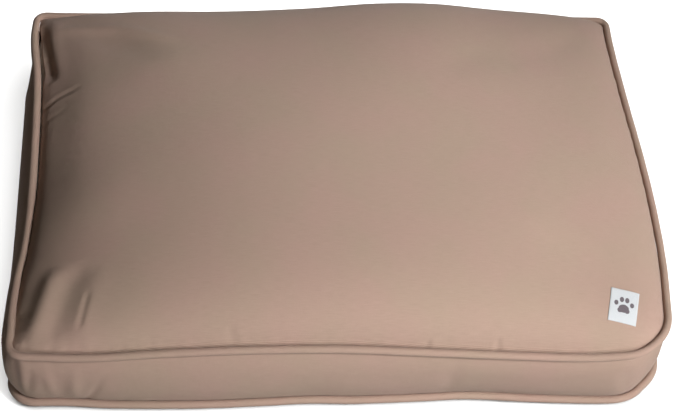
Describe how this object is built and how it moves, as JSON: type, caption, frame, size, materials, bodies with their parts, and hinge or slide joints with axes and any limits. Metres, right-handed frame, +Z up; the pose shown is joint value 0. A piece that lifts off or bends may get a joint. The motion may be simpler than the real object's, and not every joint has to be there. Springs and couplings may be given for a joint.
{
  "type": "pet cushion bed",
  "caption": "Rectangular piped box cushion bed for a pet: a zip-off cover over a fibre-filled liner.",
  "frame": {"origin": "on the floor, under the middle of the bed", "axes": "+X from the bed's left to its right, along its long side; +Y from the front to the back, where the zip is; +Z up"},
  "size_m": [0.9184, 0.695, 0.2001],
  "materials": {
    "taupe_canvas": "matte woven cotton canvas",
    "cotton_cord": "matte twisted cotton",
    "liner_cotton": "matte plain weave",
    "polyester_fibre": "loose fibre",
    "label_weave": "fine satin weave",
    "label_thread": "matte thread",
    "zip_tape": "matte woven tape",
    "zip_nylon": "satin nylon coil",
    "zip_metal": "polished nickel plate"
  },
  "bodies": {
    "cushion": {"cover_top_panel": "taupe_canvas", "cover_bottom_panel": "taupe_canvas", "cover_wrap_band": "taupe_canvas", "zip_strip_upper": "taupe_canvas", "zip_strip_lower": "taupe_canvas", "zip_garage_left": "taupe_canvas", "zip_garage_right": "taupe_canvas", "top_piping_sleeve": "taupe_canvas", "bottom_piping_sleeve": "taupe_canvas", "top_piping_cord": "cotton_cord", "bottom_piping_cord": "cotton_cord", "zip_tape_upper": "zip_tape", "zip_tape_lower": "zip_tape", "zip_coil_upper": "zip_nylon", "zip_coil_lower": "zip_nylon", "sewn_label": "label_weave", "label_stitching": "label_thread", "care_label": "label_weave", "liner_upper": "liner_cotton", "liner_lower": "liner_cotton", "fibre_fill": "polyester_fibre"},
    "slider": {"zip_slider": "zip_metal"},
    "pull_ring": {"zip_pull_ring": "zip_metal"},
    "pull_tab": {"zip_pull_tab": "zip_metal"}
  },
  "joints": [
    {"name": "zip_slide", "type": "slide", "parent": "cushion", "child": "slider", "axis": [-1, 0, 0], "range_m": [0, 0.6874]},
    {"name": "ring_swing", "type": "hinge", "parent": "slider", "child": "pull_ring", "pos_m": [0.3413, 0.348, 0.0645], "axis": [0, 1, 0], "range_deg": [-45, 225]},
    {"name": "tab_tilt", "type": "hinge", "parent": "pull_ring", "child": "pull_tab", "pos_m": [0.3413, 0.348, 0.0585], "axis": [1, 0, 0], "range_deg": [0, 120]}
  ]
}
